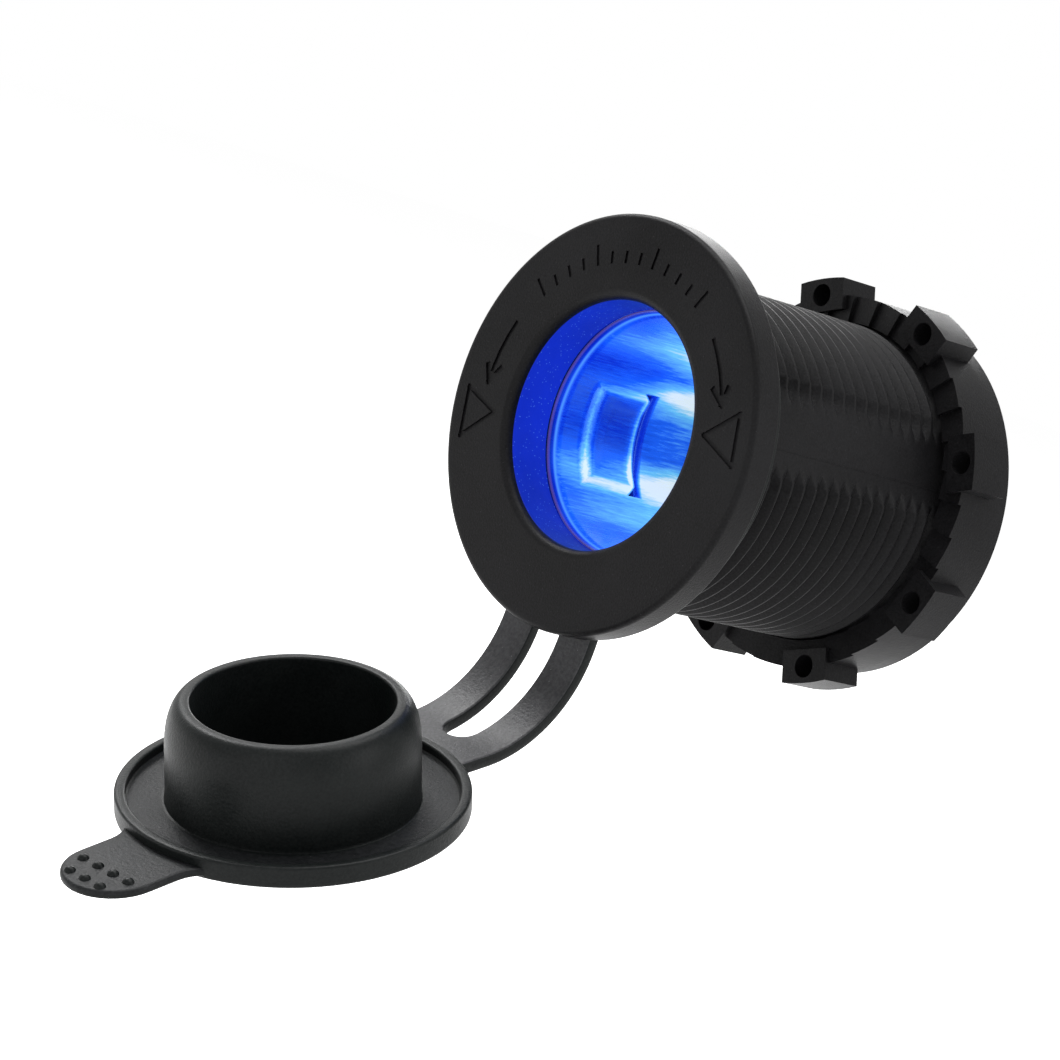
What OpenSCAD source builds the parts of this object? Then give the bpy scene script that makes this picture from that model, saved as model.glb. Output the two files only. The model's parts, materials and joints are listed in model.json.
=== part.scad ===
// Panel-mount 12 V socket with a lit mouth, a clamp nut and a tethered cap.
// The barrel axis lies along Y, the mouth faces -Y, and the origin is on that axis
// in the plane of the flange's back face, where the panel side begins.

/* [Flange and barrel] */
// How far the round flange stands out from the barrel
flange_lip = 3.9; // [3:0.1:5]
// Thickness of the flange
flange_t = 2.9; // [2.2:0.1:4]
// Radius of the rounding round the flange's front edge
flange_edge_r = 0.5; // [0.2:0.1:0.8]
// Thickness of the barrel outside the lamp board, to the thread's crests
barrel_wall = 1.65; // [1.5:0.05:2.4]
// Length of the barrel behind the flange
barrel_len = 35.1; // [34:0.1:38]
// Distance from one thread crest to the next
thread_pitch = 1.5; // [1:0.1:2]
// Depth of the thread
thread_depth = 0.85; // [0.5:0.05:0.95]
// Angle between each flat's edge and the thread's ends
thread_runout = 5; // [2:1:15]
// Depth of the flat along each side of the barrel
flat_depth = 0.75; // [0.4:0.05:0.9]
// Direction of the barrel's flats, in degrees up from the right
flat_turn = 21; // [0:1:40]
// Direction of the lock tabs and of the marks in line with them
mark_turn = 12.5; // [0:0.5:40]

/* [Mouth] */
// Radius of the opening in the flange
mouth_r = 11; // [10.8:0.05:11.3]
// Radius of the rounding round the mouth
mouth_edge_r = 0.8; // [0.4:0.1:0.9]
// Depth of the black lip in front of the light ring
lip_depth = 0.9; // [0.9:0.1:1.2]
// Thickness of the light ring
light_t = 1.4; // [1.3:0.05:1.8]
// Width of the light ring along the barrel
light_len = 4.3; // [3.8:0.1:5]

/* [Liner] */
// How far the metal liner's wall stands in from the mouth
liner_step = 0.5; // [0.4:0.05:0.8]
// Thickness of the liner's sheet
sheet_t = 0.5; // [0.4:0.05:0.55]
// Distance from the liner's floor to the barrel's back end
floor_inset = 1.4; // [1.3:0.1:3]
// How far the lock tabs stand in from the wall
tab_rise = 0.9; // [0.4:0.1:1.2]
// Angle that each lock tab spans
tab_span = 54; // [40:1:60]
// Length of a lock tab along the barrel
tab_len = 6.2; // [5:0.1:7]
// Width of the cut behind each tab
tab_cut = 0.9; // [0.6:0.1:1.2]
// Length of the ramp at the front of each tab
tab_ramp = 1.2; // [0.8:0.1:2]
// Angle taken by each of the tab's drawn sides and by the cut's overrun
tab_side = 5; // [3:0.5:8]
// Distance from the liner's rim to the tab
tab_start = 3.6; // [3:0.1:5]

/* [Clamp nut] */
// Distance from the nut's toothed face to the barrel's back end
nut_back = 9.1; // [9.1:0.1:26]
// Thickness of the nut's round wall
nut_wall = 2.45; // [2:0.05:3]
// Length of the nut
nut_len = 6.9; // [6:0.1:8]
// How far the lugs stand out from the nut's wall
lug_rise = 1.55; // [1.2:0.05:2]
// Width of a lug
lug_w = 5.1; // [4.2:0.1:5.6]
// Length of a lug
lug_len = 4.5; // [4:0.1:5.2]
// How far the lugs stand in front of the toothed face
lug_proud = 0.35; // [0.2:0.05:0.6]
// Radius of a spanner hole
hole_r = 1.05; // [0.8:0.05:1.2]
// Depth of a spanner hole
hole_depth = 3.2; // [2:0.1:3.6]
// Number of lugs
lug_count = 8; // [6:1:8]
// Number of ratchet teeth on the nut's face
tooth_count = 36; // [24:4:40]
// Height of a ratchet tooth
tooth_h = 0.45; // [0.2:0.05:0.7]
// Length of the narrower collar at the nut's back
collar_l = 2.4; // [1.5:0.1:3]
// How far the collar stands in from the nut's wall
collar_step = 0.35; // [0.2:0.05:0.6]
// Gap between the thread's crests and the nut's bore
nut_gap = 0.1; // [0.05:0.01:0.1]

/* [Cap and strap] */
// Thickness of the ring, the strap and the disc
cap_t = 1.9; // [1.5:0.1:2.4]
// Width of the ring round the barrel
ring_w = 2.1; // [1.8:0.1:2.6]
// Gap between the barrel and the ring
ring_gap = 0.3; // [0.2:0.05:0.5]
// Width of the strap
strap_w = 11.4; // [10:0.1:13]
// Width of the slot in the strap
slot_w = 2.9; // [2:0.1:3.6]
// Width of the web between the strap's slot and the disc
slot_web = 1.9; // [1.2:0.1:3]
// Radius of the bend, on its inner face
bend_r = 11.8; // [10:0.1:16]
// Angle of the bend
bend_turn = 66.4; // [50:0.2:80]
// Straight length of the strap between the bend and the disc
strap_end = 1.9; // [1.2:0.1:4]
// How far the disc stands out from the plug
disc_lip = 4.15; // [3.6:0.05:5]
// Width of the raised rim round the disc
rim_w = 0.95; // [0.7:0.05:1.4]
// Depth of the disc's face below its rim
rim_h = 0.9; // [0.5:0.05:1.1]
// Height of the plug above the rim
plug_h = 8; // [6:0.1:9]
// Clearance between the plug and the mouth
plug_gap = 0.25; // [0.2:0.05:0.4]
// Thickness of the plug's wall
plug_wall = 2.15; // [1.8:0.05:3]
// Length of the pull tab beyond the disc
pull_len = 9.2; // [8:0.1:12]
// Width of the pull tab
pull_w = 10.4; // [8:0.1:12]
// Thickness of the pull tab
pull_t = 1; // [0.8:0.1:1.4]
// Turn of the pull tab about the disc's centre
pull_turn = 5; // [-8:1:8]
// Radius of a grip bump
bump_r = 0.6; // [0.4:0.05:0.7]

/* [Contact] */
// Radius of the centre contact's nose
nose_r = 3.2; // [3:0.1:3.4]
// How far the nose stands out of its cup
nose_len = 2.4; // [2.2:0.1:3]
// Travel of the centre contact
contact_travel = 2; // [1:0.1:2.2]
// Width of the collar that keeps the contact in its cup
collar_w = 1; // [0.8:0.1:1.4]
// Wire diameter of the contact spring
wire_d = 0.5; // [0.4:0.05:0.6]
// Number of working turns in the contact spring
coil_turns = 4; // [3:1:5]
// Radius of the brass stud
stud_r = 1.5; // [1.3:0.1:1.8]
// Thickness of the stud's head
head_t = 0.6; // [0.5:0.1:0.9]

/* [Rear end] */
// Thickness of the rear seal
seal_t = 0.6; // [0.4:0.1:1]
// How far the rear cover stands out from the liner
cover_lip = 1.2; // [1:0.1:1.6]
// Length of the rear cover behind the seal
cover_len = 2.4; // [2:0.1:3]
// Width of a blade terminal
blade_w = 6.3; // [4.8:0.1:6.3]
// Thickness of a blade terminal
blade_t = 0.8; // [0.5:0.05:0.8]
// Gap between the rivet's head and the negative blade
blade_room = 0.25; // [0.15:0.05:0.6]
// Length of the blades behind the rear cover
blade_len = 8.3; // [6.5:0.1:12]
// Width across the flats of the stud nut
stud_nut_af = 5.5; // [4.5:0.1:6]
// Thickness of the lock washer
washer_t = 0.5; // [0.4:0.05:0.7]
// Thickness of the stud nut
stud_nut_t = 2; // [1.2:0.1:2.4]

/* [Light] */
// Thickness of the lamp board
board_t = 0.8; // [0.6:0.1:1]
// Length of an LED
led_len = 1.6; // [1:0.1:2]
// Radius of an insulated lead
lead_r = 0.45; // [0.35:0.05:0.5]

/* [Hidden] */
$fn = 96;
nylon = [0.13, 0.13, 0.14];
rubber = [0.17, 0.18, 0.18];
steel = [0.78, 0.8, 0.82];
brass = [0.78, 0.62, 0.3];
fit_gap = 0.05;
slip_gap = 0.1;
over = 1;
light_front = -flange_t + lip_depth;
light_back = light_front + light_len;
light_r = mouth_r + light_t;
board_lip = 0.5;
pocket_skin = 0.25;
led_h = 0.7;
chip_w = 0.9;
board_r = light_r + board_lip;
board_y = light_back + fit_gap;
board_back = board_y + board_t;
recess_room = 0.6;
recess_end = light_back + board_t + recess_room;
barrel_r = board_r + fit_gap + barrel_wall;
flange_r = barrel_r + flange_lip;
liner_r = mouth_r - liner_step;
sleeve_r = liner_r + sheet_t;
bore_r = sleeve_r + fit_gap;
flare = 0.3;
flare_r = sleeve_r + flare;
flare_len = 1.2;
floor_y = barrel_len - floor_inset;
floor_back = floor_y + sheet_t;
floor_hole_lip = 1.5;
floor_hole_r = stud_r + floor_hole_lip;
tab_y = light_back + tab_start;
tab_end = tab_y + tab_len;
flat_r = barrel_r - flat_depth;
nut_y = barrel_len - nut_back;
nut_bore_r = barrel_r + nut_gap;
nut_r = nut_bore_r + nut_wall;
lug_r = nut_r + lug_rise;
lug_foot = 0.9;
lug_y = nut_y - lug_proud;
ring_r = barrel_r + ring_gap + ring_w;
lead_room = 0.2;
lead_pitch_r = sleeve_r + lead_room - fit_gap + lead_r;
lead_bend_y = floor_back + lead_r + fit_gap;
cup_wall = 1.2;
cup_bore_r = nose_r + collar_w;
cup_r = cup_bore_r + cup_wall;
cup_spigot_r = floor_hole_r - fit_gap;
lip_t = 0.6;
cup_floor_t = 1;
press_room = 0.6;
collar_len = 1.5;
cup_front = floor_y - cup_floor_t - press_room - contact_travel - collar_len - fit_gap - lip_t;
nose_y = cup_front + lip_t - nose_len;
collar_y = cup_front + lip_t + fit_gap;
nose_wall = 1.1;
nose_edge = 0.5;
spring_bore_r = nose_r - 0.3;
spring_room = 0.45;
coil_r = spring_bore_r - spring_room - wire_d / 2;
coil_length = floor_y - cup_floor_t - head_t - (nose_y + nose_wall);
coil_seat = 0.02;
coil_sides = 8;
head_y = floor_y - cup_floor_t - head_t;
head_r = stud_r + 1.1;
seal_y = barrel_len;
cover_y = seal_y + seal_t;
cover_back = cover_y + cover_len;
cover_r = sleeve_r + cover_lip;
cover_edge = 1;
cover_taper = 1.4;
washer_y = cover_back + blade_t;
stud_nut_y = washer_y + washer_t;
stud_tail = 0.9;
stud_end = stud_nut_y + stud_nut_t + stud_tail;
blade_end = cover_back + blade_len;
blade_tip = 1.2;
blade_hole_r = 0.9;
blade_hole_back = 3.6;
slot_gap = 0.15;
ear_lip = 1.45;
ear_r = stud_nut_af / 2 + ear_lip;
rivet_r = 0.9;
rivet_lip = 0.5;
rivet_t = 0.5;
rivet_z = (cup_r + liner_r) / 2;
foot_lip = 0.75;
foot_far = rivet_z + rivet_r + foot_lip;
blade_offset = rivet_z - rivet_r - rivet_lip - blade_room - blade_t;
plug_r = mouth_r - plug_gap;
plug_bore_r = plug_r - plug_wall;
plug_shoulder = 3.7;
lip_w = 0.6;
disc_r = plug_r + disc_lip;
disc_edge = 0.3;
rim_edge = 0.2;
pull_reach = disc_r + pull_len;
bump_pitch = 2.05;
row_pitch = 2.3;
bump_inset = 1.6;
bump_rows = [[pull_reach - bump_inset - row_pitch, 4], [pull_reach - bump_inset, 3]];
pull_flare = 1.9;
pull_root = 2.5;
pull_flare_len = 3.6;
crest_rise = 0.15;
root_w = 0.2;
flat_half = acos(flat_r / barrel_r);
strap_drop = flange_r;
cap_reach = disc_r + strap_end;
cap_centre = [-bend_r + bend_r * cos(bend_turn) - cap_reach * sin(bend_turn),
    -strap_drop - bend_r * sin(bend_turn) - cap_reach * cos(bend_turn)];
slot_turn = bend_turn - (disc_r + slot_web + slot_w / 2 - cap_reach) / bend_r * 180 / PI;

// Turns a form drawn along Z so that it runs backwards along the barrel.
module along_barrel() {
    rotate([-90, 0, 0]) children();
}

// Turns a form drawn on the right-hand side to an angle up from the right.
module at_angle(angle) {
    rotate([0, -angle, 0]) children();
}

// Cylinder along the barrel between two depths.
module rod(r, from, to) {
    translate([0, from, 0]) along_barrel() cylinder(r = r, h = to - from);
}

// Ring along the barrel between two depths.
module pipe(r_out, r_in, from, to) {
    difference() {
        rod(r_out, from, to);
        rod(r_in, from - over, to + over);
    }
}

// Box given by two opposite corners.
module block(low, high) {
    translate(low) cube(high - low);
}

// Part of a turn round the barrel's axis, centred on the right-hand side.
module sector(span) {
    at_angle(span / 2) along_barrel() rotate_extrude(angle = span) children();
}

// Half section of the flange with its rounded front edge, revolved.
module flange_form() {
    along_barrel() rotate_extrude() union() {
        translate([0, -flange_t + flange_edge_r]) square([flange_r, flange_t - flange_edge_r]);
        translate([0, -flange_t]) square([flange_r - flange_edge_r, flange_t]);
        translate([flange_r - flange_edge_r, -flange_t + flange_edge_r]) circle(flange_edge_r, $fn = 48);
    }
}

// Opening in the lip, with a rounded edge towards the front.
module mouth_form() {
    along_barrel() rotate_extrude() difference() {
        translate([0, -flange_t - over]) square([mouth_r + mouth_edge_r, over + lip_depth + over]);
        translate([mouth_r, -flange_t + mouth_edge_r]) square([mouth_edge_r + over, lip_depth + over]);
        translate([mouth_r + mouth_edge_r, -flange_t + mouth_edge_r]) circle(mouth_edge_r, $fn = 48);
    }
}

// Grooves of the thread, as a comb turned round one side of the barrel between its flats.
module thread_comb() {
    span = 180 - 2 * (flat_half + thread_runout);
    grooves = floor(barrel_len / thread_pitch);
    tip_r = barrel_r + crest_rise;
    root_r = barrel_r - thread_depth;
    sector(span) polygon([
        [tip_r + over, 0], [tip_r, 0],
        for (i = [0 : grooves - 1]) each [
            [root_r, (i + 0.5) * thread_pitch - root_w / 2], [root_r, (i + 0.5) * thread_pitch + root_w / 2],
            [tip_r, (i + 1) * thread_pitch]
        ],
        [tip_r + over, grooves * thread_pitch]
    ]);
}

// Half space outside one flat of the barrel.
module flat_cutter() {
    block([flat_r, -over, -barrel_r], [barrel_r + over, barrel_len + over, barrel_r]);
}

module socket_housing() {
    color(nylon) difference() {
        union() {
            flange_form();
            difference() {
                rod(barrel_r, -flange_t / 2, barrel_len);
                for (side = [0, 180]) at_angle(flat_turn + side) difference() {
                    flat_cutter();
                    block([0, -over, -barrel_r], [barrel_r + 2 * over, 0, barrel_r]);
                }
            }
        }
        for (side = [90, 270]) at_angle(flat_turn + side) thread_comb();
        mouth_form();
        rod(bore_r, light_front + over, barrel_len + over);
        rod(light_r + fit_gap, light_front, light_back + fit_gap);
        rod(board_r + fit_gap, light_back, recess_end);
        for (side = [0, 180]) at_angle(90 + side) {
            translate([lead_pitch_r, 0, 0]) rod(lead_r + lead_room, light_back, barrel_len + over);
            block([sleeve_r - sheet_t, light_back, -lead_r - lead_room],
                [lead_pitch_r, barrel_len + over, lead_r + lead_room]);
        }
    }
}

module light_ring() {
    led_room = led_len + 2 * slip_gap;
    color([0.1, 0.25, 0.95]) difference() {
        pipe(light_r, mouth_r, light_front, light_back);
        for (side = [0, 180]) at_angle(side)
            block([mouth_r + pocket_skin, light_back - led_h - lead_room, -led_room / 2],
                [light_r - lead_room, light_back + over, led_room / 2]);
    }
}

// Bare sleeve with a flared rim and a drilled floor.
module liner_sleeve() {
    along_barrel() rotate_extrude() polygon([
        [flare_r - sheet_t, light_back], [flare_r, light_back], [flare_r, light_back + sheet_t],
        [sleeve_r, light_back + flare_len], [sleeve_r, floor_back], [floor_hole_r, floor_back],
        [floor_hole_r, floor_y], [liner_r, floor_y], [liner_r, light_back + flare_len],
        [flare_r - sheet_t, light_back + sheet_t]
    ]);
}

// Boss from which one lock tab is formed: it ramps in from the wall and runs to the cut.
module tab_boss() {
    mid_wall = liner_r + sheet_t / 2;
    sector(tab_span) polygon([[mid_wall, tab_y - tab_ramp / 4], [liner_r - tab_rise, tab_y + tab_ramp],
        [liner_r - tab_rise, tab_end + tab_cut / 2], [mid_wall, tab_end + tab_cut / 2]]);
}

// Hollow behind the tab, which leaves it as thick as the sheet, and the open cut at its deep end.
module tab_hollow() {
    skin_r = liner_r - tab_rise + sheet_t;
    sector(tab_span - tab_side) polygon([[sleeve_r + over, tab_y + tab_ramp / 2],
        [skin_r, tab_y + tab_ramp + sheet_t / 2], [skin_r, tab_end + tab_cut / 2],
        [sleeve_r + over, tab_end + tab_cut / 2]]);
    sector(tab_span + tab_side) translate([liner_r - tab_rise - over, tab_end])
        square([tab_rise + sheet_t + 2 * over, tab_cut]);
}

module socket_liner() {
    color(steel) difference() {
        union() {
            liner_sleeve();
            for (side = [0, 180]) at_angle(mark_turn + side) tab_boss();
        }
        for (side = [0, 180]) at_angle(mark_turn + side) tab_hollow();
        translate([0, 0, -rivet_z]) rod(rivet_r + fit_gap, floor_y - over, floor_back + over);
    }
}

// One lug: a block whose crown is trimmed to the lug radius.
module lug() {
    intersection() {
        rod(lug_r, lug_y, lug_y + lug_len);
        block([nut_bore_r + lug_foot, lug_y, -lug_w / 2], [lug_r + over, lug_y + lug_len, lug_w / 2]);
    }
}

// Wedge that is cut from the nut's face to leave one ramped ratchet tooth.
module tooth_cut(step) {
    half = (nut_r + over / 2) * tan(step / 2);
    translate([nut_bore_r - over, nut_y, 0]) rotate([90, 0, 90])
        linear_extrude(nut_r - nut_bore_r + 2 * over)
            polygon([[-over, -half], [0, -half], [tooth_h, half], [-over, half]]);
}

module ring_nut() {
    step = 360 / tooth_count;
    lug_step = 360 / lug_count;
    color(nylon) difference() {
        union() {
            difference() {
                union() {
                    rod(nut_r, nut_y, nut_y + nut_len - collar_l);
                    rod(nut_r - collar_step, nut_y, nut_y + nut_len);
                }
                for (i = [0 : tooth_count - 1]) at_angle((i + 0.5) * step) tooth_cut(step);
            }
            for (i = [0 : lug_count - 1]) at_angle(lug_step * (i + 0.5)) lug();
        }
        rod(nut_bore_r, lug_y - over, nut_y + nut_len + over);
        for (i = [0 : lug_count - 1]) at_angle(lug_step * (i + 0.5))
            translate([nut_r, 0, 0]) rod(hole_r, lug_y - over, lug_y + hole_depth);
    }
}

module cap_strap_ring() {
    color(rubber) pipe(ring_r, barrel_r + ring_gap, 0, cap_t);
}

// Turns a form about the bend's centre line so that it follows the strap round the bend.
module on_bend(angle) {
    translate([0, -bend_r, -strap_drop]) rotate([-angle, 0, 0]) translate([0, bend_r, 0]) children();
}

// Points along the bend at a given height above its inner face, in depth and height.
function bend_line(height, angles) =
    [for (a = angles) [(bend_r + height) * cos(a) - bend_r, -strap_drop - (bend_r + height) * sin(a)]];

// Side outline from the barrel's axis to an angle of the bend, then straight on by a given length.
module strap_outline(inner, outer, angle, straight) {
    angles = [for (i = [0 : 24]) angle * i / 24];
    back = [for (i = [24 : -1 : 0]) angles[i]];
    run = straight * [-sin(angle), -cos(angle)];
    polygon(concat([[inner, 0]], bend_line(inner, angles),
        [bend_line(inner, [angle])[0] + run, bend_line(outer, [angle])[0] + run],
        bend_line(outer, back), [[outer, 0]]));
}

// Strap or slot of a given width, from the barrel's axis round the bend.
module strap_run(width, inner, outer, angle, straight) {
    translate([-width / 2, 0, 0]) rotate([90, 0, 90]) linear_extrude(width)
        strap_outline(inner, outer, angle, straight);
}

module cap_strap() {
    color(rubber) difference() {
        strap_run(strap_w, 0, cap_t, bend_turn, cap_reach);
        rod(ring_r, -over, cap_t + over);
        on_bend(bend_turn) translate([0, 0, -cap_reach]) rod(disc_r, -over, cap_t + over);
        strap_run(slot_w, -over, cap_t + over, slot_turn, 0);
        on_bend(slot_turn) rod(slot_w / 2, -over, cap_t + over);
    }
}

// Half section of disc, raised rim and hollow plug; the rim's top is at height zero.
module cap_profile() {
    inner_r = disc_r - rim_w;
    foot = plug_h - plug_shoulder;
    lip_r = plug_bore_r + lip_w;
    polygon([
        [0, -cap_t], [disc_r - disc_edge, -cap_t], [disc_r, disc_edge - cap_t], [disc_r, -rim_edge],
        [disc_r - rim_edge, 0], [inner_r + rim_edge, 0], [inner_r, -rim_edge], [inner_r, -rim_h],
        [plug_r, -rim_h], [plug_r, foot],
        for (a = [15 : 15 : 75]) [lip_r + (plug_r - lip_r) * cos(a), foot + plug_shoulder * sin(a)],
        [lip_r, plug_h], [plug_bore_r + rim_edge, plug_h], [plug_bore_r, plug_h - rim_edge],
        [plug_bore_r, -rim_h], [0, -rim_h]
    ]);
}

// Outline of the pull tab: a flared root, straight sides and a round tip.
module pull_outline() {
    half = pull_w / 2;
    root = disc_r - pull_root;
    sides = [for (i = [0 : 6]) let (u = i / 6) [-root - pull_flare_len * u, half + pull_flare * pow(1 - u, 2)]];
    polygon(concat([for (p = sides) p], [for (i = [6 : -1 : 0]) [sides[i][0], -sides[i][1]]]));
    translate([half - pull_reach, 0]) circle(half);
    translate([half - pull_reach, -half]) square([pull_reach - half - root - pull_flare_len / 2, pull_w]);
}

// Pull tab in the disc's plane, pointing away from the strap.
module pull_tab() {
    translate([0, 0, -cap_t]) difference() {
        linear_extrude(pull_t) pull_outline();
        translate([0, 0, -over]) cylinder(r = disc_r - rim_w / 2, h = pull_t + 2 * over);
    }
    for (row = bump_rows, i = [0 : row[1] - 1])
        translate([-row[0], (i - (row[1] - 1) / 2) * bump_pitch, pull_t - cap_t - bump_r / 3])
            sphere(bump_r, $fn = 24);
}

module cap() {
    color(rubber) translate([0, cap_centre[0], cap_centre[1]]) rotate([90 - bend_turn, 0, 0]) {
        rotate_extrude() cap_profile();
        rotate([0, 0, 90 + pull_turn]) pull_tab();
    }
}

module led_board() {
    color([0.1, 0.35, 0.2]) pipe(board_r, flare_r + slip_gap, board_y, board_back);
}

// One LED on the board's front face, lying in its pocket in the light ring.
module led_chip(angle) {
    at_angle(angle) block([mouth_r + pocket_skin + slip_gap, board_y - led_h, -led_len / 2],
        [light_r - lead_room - slip_gap, board_y, led_len / 2]);
}

module led_left() {
    color([0.95, 0.95, 0.85]) led_chip(180);
}

module led_right() {
    color([0.95, 0.95, 0.85]) led_chip(0);
}

module led_resistor() {
    color([0.15, 0.15, 0.15]) at_angle(135)
        block([flare_r + 2 * slip_gap, board_back, -led_len / 2],
            [flare_r + 2 * slip_gap + chip_w, board_back + chip_w / 2, led_len / 2]);
}

// Lead from the board along its groove, then in behind the liner's floor to a given radius.
module lead(angle, inner) {
    at_angle(angle) {
        translate([lead_pitch_r, 0, 0]) rod(lead_r, board_back, lead_bend_y);
        translate([lead_pitch_r, lead_bend_y, 0]) sphere(lead_r, $fn = 32);
        translate([inner, lead_bend_y, 0]) rotate([0, 90, 0]) cylinder(r = lead_r, h = lead_pitch_r - inner);
    }
}

module led_lead_positive() {
    color([0.6, 0.05, 0.05]) lead(90, stud_r);
}

module led_lead_negative() {
    color([0.1, 0.1, 0.1]) lead(-90, foot_far);
}

module contact_cup() {
    color([0.55, 0.35, 0.2]) difference() {
        union() {
            rod(cup_r, cup_front, floor_y);
            rod(cup_spigot_r, floor_y - over, floor_back);
        }
        rod(cup_bore_r, cup_front + lip_t, floor_y - cup_floor_t);
        rod(nose_r + slip_gap, cup_front - over, cup_front + lip_t + over);
        rod(stud_r + fit_gap, floor_y - 2 * over, floor_back + over);
    }
}

module centre_contact() {
    color(brass) difference() {
        union() {
            rod(nose_r, nose_y, collar_y + collar_len);
            rod(cup_bore_r - slip_gap / 2, collar_y, collar_y + collar_len);
        }
        rod(spring_bore_r, nose_y + nose_wall, collar_y + collar_len + over);
        along_barrel() rotate_extrude() translate([nose_r, nose_y]) circle(nose_edge, $fn = 32);
    }
}

// Height of the spring's wire, as a share of its length: closed ends, open turns between.
function coil_rise(share) =
    let (ends = 0.75 / (coil_turns + 1.5), low = 0.12)
    share < ends ? low * share / ends
    : share > 1 - ends ? 1 - low * (1 - share) / ends
    : low + (1 - 2 * low) * (share - ends) / (1 - 2 * ends);

// Points round the spring's wire at a given share of its length.
function coil_ring(share) =
    let (a = 360 * (coil_turns + 1.5) * share,
        start = nose_y + nose_wall + wire_d / 2 + coil_seat,
        y = start + (coil_length - wire_d - 2 * coil_seat) * coil_rise(share))
    [for (k = [0 : coil_sides - 1])
        let (b = 360 * k / coil_sides, r = coil_r + wire_d / 2 * cos(b))
        [r * cos(a), y + wire_d / 2 * sin(b), r * sin(a)]];

module contact_spring() {
    rings = 16 * (coil_turns + 1);
    points = [for (i = [0 : rings]) each coil_ring(i / rings)];
    sheath = [for (i = [0 : rings - 1], k = [0 : coil_sides - 1])
        [i * coil_sides + k, i * coil_sides + (k + 1) % coil_sides,
            (i + 1) * coil_sides + (k + 1) % coil_sides, (i + 1) * coil_sides + k]];
    first = [[for (k = [coil_sides - 1 : -1 : 0]) k]];
    last = [[for (k = [0 : coil_sides - 1]) rings * coil_sides + k]];
    color(steel) polyhedron(points, concat(sheath, first, last), convexity = 8);
}

module contact_stud() {
    color(brass) union() {
        rod(head_r, head_y, head_y + head_t);
        rod(stud_r, head_y, stud_end);
    }
}

module rear_seal() {
    color([0.08, 0.08, 0.08]) pipe(cover_r - slip_gap, sleeve_r + slip_gap, seal_y, cover_y);
}

// Passages in the rear cover: the stud, the negative terminal's blade and foot, and both leads.
module cover_passages() {
    lead_half = lead_r + slip_gap;
    lead_back = lead_bend_y + lead_half;
    rod(stud_r + fit_gap, floor_back - over, cover_back + over);
    block([-blade_w / 2 - slot_gap, floor_back, -blade_offset - blade_t - slot_gap],
        [blade_w / 2 + slot_gap, cover_back + over, slot_gap - blade_offset]);
    block([-blade_w / 2 - slot_gap, floor_back - over, -foot_far - slot_gap],
        [blade_w / 2 + slot_gap, floor_back + blade_t + rivet_t + slot_gap, slot_gap - blade_offset]);
    block([-lead_half, floor_back - over, 0], [lead_half, lead_back, cover_r]);
    block([-lead_half, floor_back - over, -cover_r], [lead_half, lead_back, -foot_far]);
}

module rear_cover() {
    color(nylon) difference() {
        union() {
            rod(bore_r - slip_gap, floor_back, cover_y);
            along_barrel() rotate_extrude() polygon([[0, cover_y], [cover_r, cover_y],
                [cover_r, cover_y + cover_edge], [cover_r - cover_taper, cover_back], [0, cover_back]]);
        }
        cover_passages();
    }
}

// Tapered end of a blade terminal, with its small round hole.
module blade(y_from, z) {
    half = blade_w / 2;
    shoulder = blade_end - blade_tip;
    difference() {
        translate([0, 0, z]) linear_extrude(blade_t) polygon([
            [-half, y_from], [half, y_from], [half, shoulder], [half - blade_tip, blade_end],
            [blade_tip - half, blade_end], [-half, shoulder]
        ]);
        translate([0, blade_end - blade_hole_back, z - over]) cylinder(r = blade_hole_r, h = blade_t + 2 * over);
    }
}

module negative_terminal() {
    color(brass) difference() {
        union() {
            blade(floor_back, -blade_offset - blade_t);
            block([-blade_w / 2, floor_back, -foot_far], [blade_w / 2, floor_back + blade_t, -blade_offset]);
        }
        translate([0, 0, -rivet_z]) rod(rivet_r + fit_gap, floor_back - over, floor_back + blade_t + over);
    }
}

module negative_rivet() {
    foot_back = floor_back + blade_t;
    color(steel) translate([0, 0, -rivet_z]) union() {
        rod(rivet_r, floor_y - rivet_t / 2, foot_back + rivet_t / 2);
        rod(rivet_r + rivet_lip, floor_y - rivet_t, floor_y);
        rod(rivet_r + rivet_lip, foot_back, foot_back + rivet_t);
    }
}

module positive_terminal() {
    color(brass) difference() {
        union() {
            rod(ear_r, cover_back, cover_back + blade_t);
            block([-blade_w / 2, cover_back, 0], [blade_w / 2, cover_back + blade_t, blade_offset + blade_t]);
            blade(cover_back, blade_offset);
        }
        rod(stud_r + fit_gap, cover_back - over, cover_back + blade_t + over);
    }
}

module lock_washer() {
    washer_r = stud_nut_af / 2;
    split = lead_room;
    color(steel) difference() {
        pipe(washer_r, stud_r + slip_gap, washer_y, stud_nut_y);
        block([0, washer_y - over, -split], [washer_r + over, stud_nut_y + over, split]);
    }
}

module stud_nut() {
    across = stud_nut_af / cos(30);
    color(brass) difference() {
        translate([0, stud_nut_y, 0]) along_barrel() cylinder(d = across, h = stud_nut_t, $fn = 6);
        rod(stud_r + fit_gap, stud_nut_y - over, stud_nut_y + stud_nut_t + over);
    }
}

socket_housing();
light_ring();
socket_liner();
ring_nut();
cap_strap_ring();
cap_strap();
cap();
led_board();
led_left();
led_right();
led_resistor();
led_lead_positive();
led_lead_negative();
contact_cup();
centre_contact();
contact_spring();
contact_stud();
rear_seal();
rear_cover();
negative_terminal();
negative_rivet();
positive_terminal();
lock_washer();
stud_nut();
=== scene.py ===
import bpy
import bmesh
import json
import math
from mathutils import Matrix, Vector

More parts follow.
